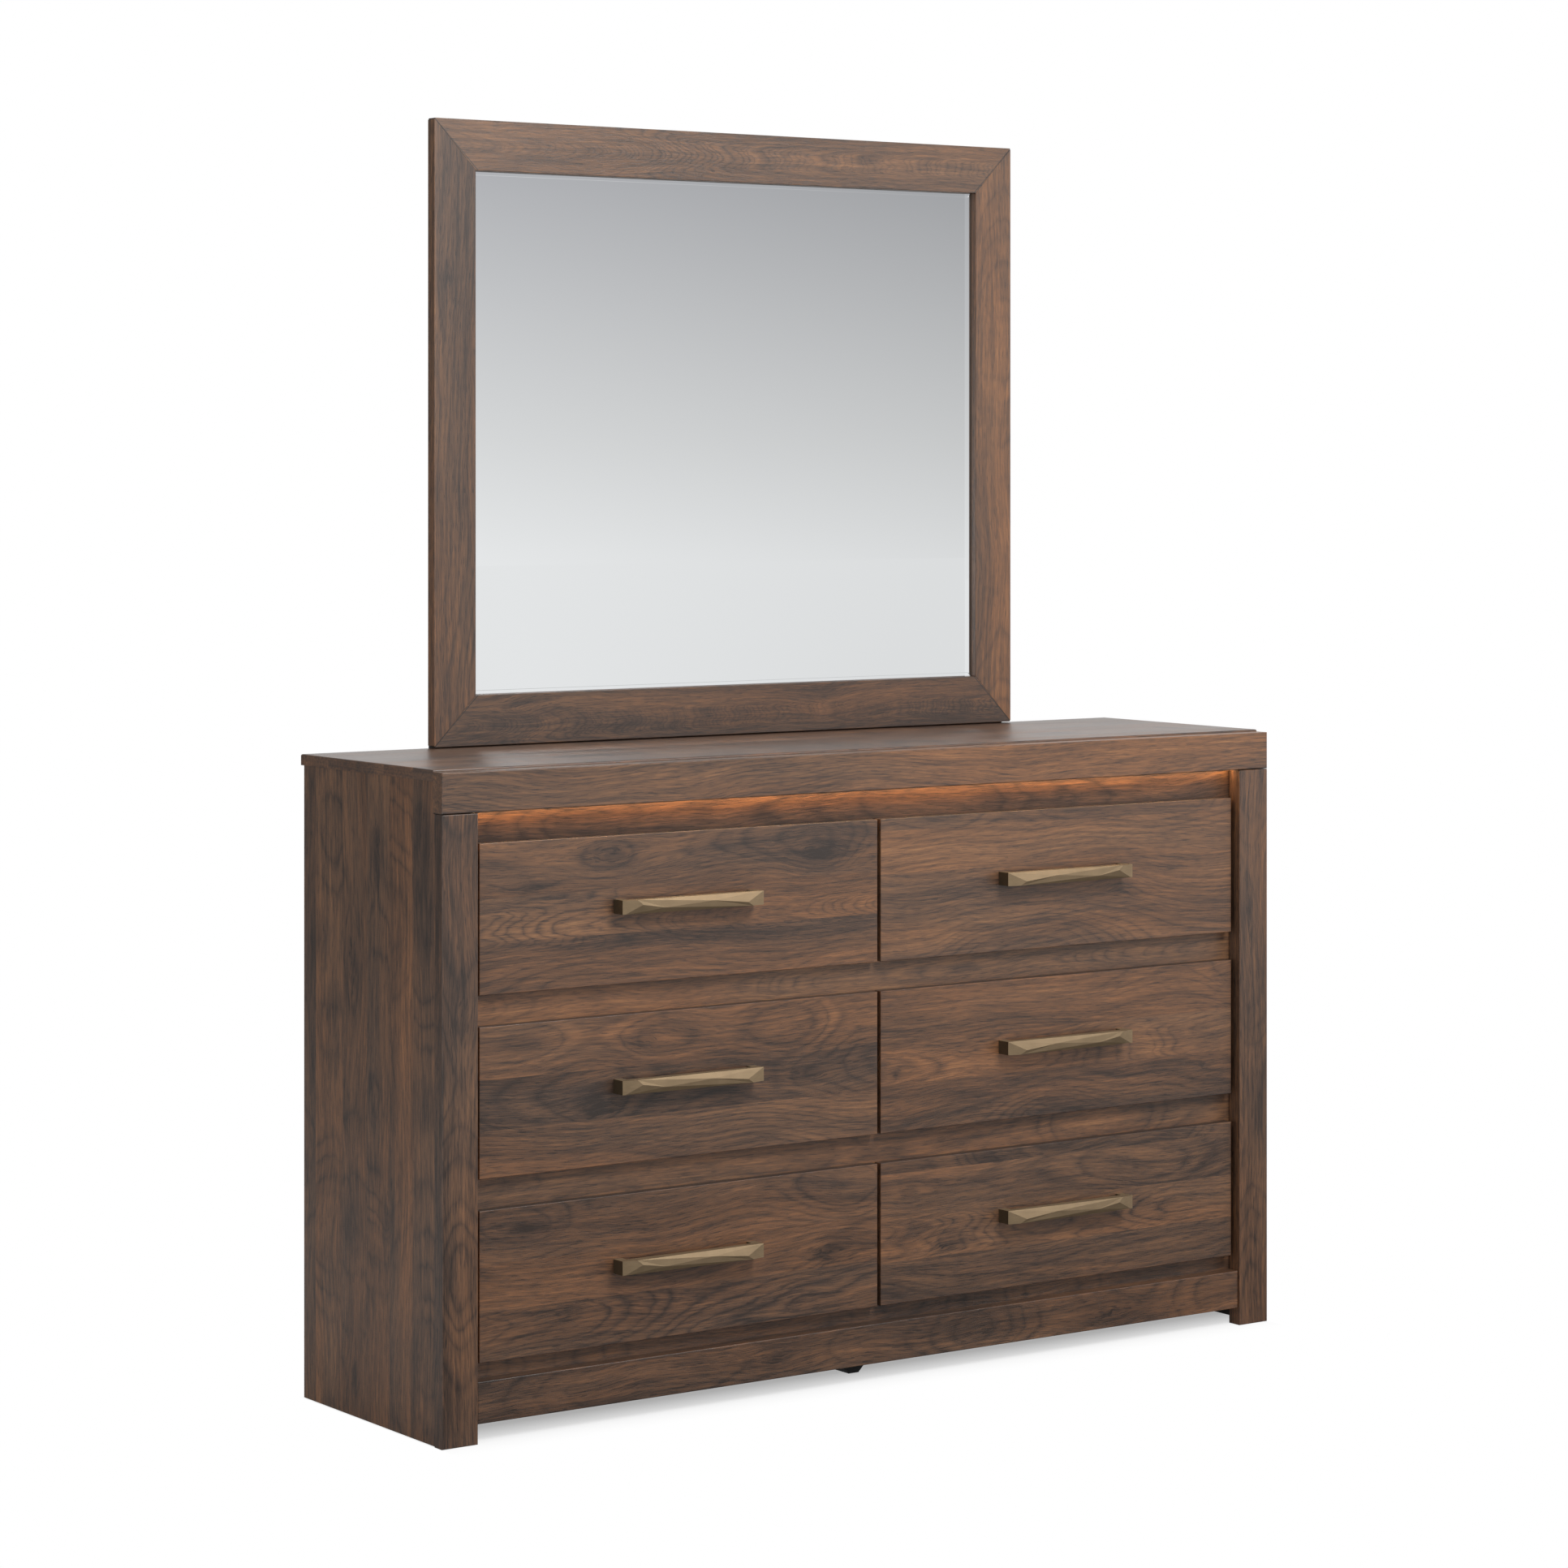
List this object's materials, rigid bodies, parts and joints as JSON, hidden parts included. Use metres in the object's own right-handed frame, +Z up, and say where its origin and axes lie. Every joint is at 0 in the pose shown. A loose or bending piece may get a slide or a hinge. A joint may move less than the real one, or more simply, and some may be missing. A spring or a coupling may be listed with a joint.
{
  "type": "dresser with mirror",
  "caption": "Wide walnut-finish dresser with drawers on telescopic slides, cut bar handles, a light strip under its fascia and a framed mirror standing on its top.",
  "frame": {"origin": "on the floor, at the middle of the width and of the overall depth, drawers shut", "axes": "+Z up, +X to the right as the drawers are faced, +Y to the back; the drawers open along -Y"},
  "size_m": [1.5, 0.4364, 1.858],
  "materials": {
    "walnut_laminate": "satin, dark walnut figure",
    "drawer_board": "matt, plain laminate",
    "plain_board": "matt, plain laminate",
    "dark_board": "matt, dark stain",
    "back_board": "matt hardboard",
    "black_foot": "matt",
    "black_plastic": "matt",
    "slide_steel": "zinc plated",
    "zinc_steel": "zinc plated",
    "antique_brass": "satin, antiqued",
    "mirror_glass": "polished",
    "lamp_aluminium": "anodised",
    "lamp_board": "matt",
    "lamp_diffuser": "milky",
    "lead_plastic": "matt"
  },
  "bodies": {
    "carcass": {"left_side_panel": "walnut_laminate", "right_side_panel": "walnut_laminate", "left_stile": "walnut_laminate", "right_stile": "walnut_laminate", "top_panel": "walnut_laminate", "fascia": "walnut_laminate", "light_rail": "walnut_laminate", "mid_rails": "walnut_laminate", "bottom_rail": "walnut_laminate", "base_rail": "walnut_laminate", "inner_frame": "dark_board", "bottom_panel": "plain_board", "center_partition": "plain_board", "back_panel": "back_board", "slide_cleats": "plain_board", "center_foot": "black_foot", "floor_glides": "black_plastic", "cabinet_slides": "slide_steel", "mirror_side_rails": "walnut_laminate", "mirror_cross_rails": "walnut_laminate", "mirror_glass": "mirror_glass", "mirror_backing": "dark_board", "mirror_supports": "dark_board", "support_bolts": "zinc_steel", "light_channel": "lamp_aluminium", "light_strip": "lamp_board", "light_diffuser": "lamp_diffuser", "power_inlet": "black_plastic", "light_lead": "lead_plastic", "tip_brackets": "zinc_steel"},
    "top_left_drawer": {"top_left_front": "walnut_laminate", "top_left_box": "drawer_board", "top_left_handle": "antique_brass", "top_left_drawer_slides": "slide_steel"},
    "top_left_middle_slides": {"top_left_middle_slides": "slide_steel"},
    "top_right_drawer": {"top_right_front": "walnut_laminate", "top_right_box": "drawer_board", "top_right_handle": "antique_brass", "top_right_drawer_slides": "slide_steel"},
    "top_right_middle_slides": {"top_right_middle_slides": "slide_steel"},
    "middle_left_drawer": {"middle_left_front": "walnut_laminate", "middle_left_box": "drawer_board", "middle_left_handle": "antique_brass", "middle_left_drawer_slides": "slide_steel"},
    "middle_left_middle_slides": {"middle_left_middle_slides": "slide_steel"},
    "middle_right_drawer": {"middle_right_front": "walnut_laminate", "middle_right_box": "drawer_board", "middle_right_handle": "antique_brass", "middle_right_drawer_slides": "slide_steel"},
    "middle_right_middle_slides": {"middle_right_middle_slides": "slide_steel"},
    "bottom_left_drawer": {"bottom_left_front": "walnut_laminate", "bottom_left_box": "drawer_board", "bottom_left_handle": "antique_brass", "bottom_left_drawer_slides": "slide_steel"},
    "bottom_left_middle_slides": {"bottom_left_middle_slides": "slide_steel"},
    "bottom_right_drawer": {"bottom_right_front": "walnut_laminate", "bottom_right_box": "drawer_board", "bottom_right_handle": "antique_brass", "bottom_right_drawer_slides": "slide_steel"},
    "bottom_right_middle_slides": {"bottom_right_middle_slides": "slide_steel"}
  },
  "joints": [
    {"name": "top_left_drawer_slide", "type": "slide", "parent": "carcass", "child": "top_left_drawer", "axis": [0, -1, 0], "range_m": [0, 0.28]},
    {"name": "top_left_middle_slides_travel", "type": "slide", "parent": "carcass", "child": "top_left_middle_slides", "axis": [0, -1, 0], "range_m": [0, 0.14]},
    {"name": "top_right_drawer_slide", "type": "slide", "parent": "carcass", "child": "top_right_drawer", "axis": [0, -1, 0], "range_m": [0, 0.28]},
    {"name": "top_right_middle_slides_travel", "type": "slide", "parent": "carcass", "child": "top_right_middle_slides", "axis": [0, -1, 0], "range_m": [0, 0.14]},
    {"name": "middle_left_drawer_slide", "type": "slide", "parent": "carcass", "child": "middle_left_drawer", "axis": [0, -1, 0], "range_m": [0, 0.28]},
    {"name": "middle_left_middle_slides_travel", "type": "slide", "parent": "carcass", "child": "middle_left_middle_slides", "axis": [0, -1, 0], "range_m": [0, 0.14]},
    {"name": "middle_right_drawer_slide", "type": "slide", "parent": "carcass", "child": "middle_right_drawer", "axis": [0, -1, 0], "range_m": [0, 0.28]},
    {"name": "middle_right_middle_slides_travel", "type": "slide", "parent": "carcass", "child": "middle_right_middle_slides", "axis": [0, -1, 0], "range_m": [0, 0.14]},
    {"name": "bottom_left_drawer_slide", "type": "slide", "parent": "carcass", "child": "bottom_left_drawer", "axis": [0, -1, 0], "range_m": [0, 0.28]},
    {"name": "bottom_left_middle_slides_travel", "type": "slide", "parent": "carcass", "child": "bottom_left_middle_slides", "axis": [0, -1, 0], "range_m": [0, 0.14]},
    {"name": "bottom_right_drawer_slide", "type": "slide", "parent": "carcass", "child": "bottom_right_drawer", "axis": [0, -1, 0], "range_m": [0, 0.28]},
    {"name": "bottom_right_middle_slides_travel", "type": "slide", "parent": "carcass", "child": "bottom_right_middle_slides", "axis": [0, -1, 0], "range_m": [0, 0.14]}
  ],
  "couplings": [
    {"joint": "top_left_middle_slides_travel", "follows": "top_left_drawer_slide", "ratio": 0.5},
    {"joint": "top_right_middle_slides_travel", "follows": "top_right_drawer_slide", "ratio": 0.5},
    {"joint": "middle_left_middle_slides_travel", "follows": "middle_left_drawer_slide", "ratio": 0.5},
    {"joint": "middle_right_middle_slides_travel", "follows": "middle_right_drawer_slide", "ratio": 0.5},
    {"joint": "bottom_left_middle_slides_travel", "follows": "bottom_left_drawer_slide", "ratio": 0.5},
    {"joint": "bottom_right_middle_slides_travel", "follows": "bottom_right_drawer_slide", "ratio": 0.5}
  ]
}
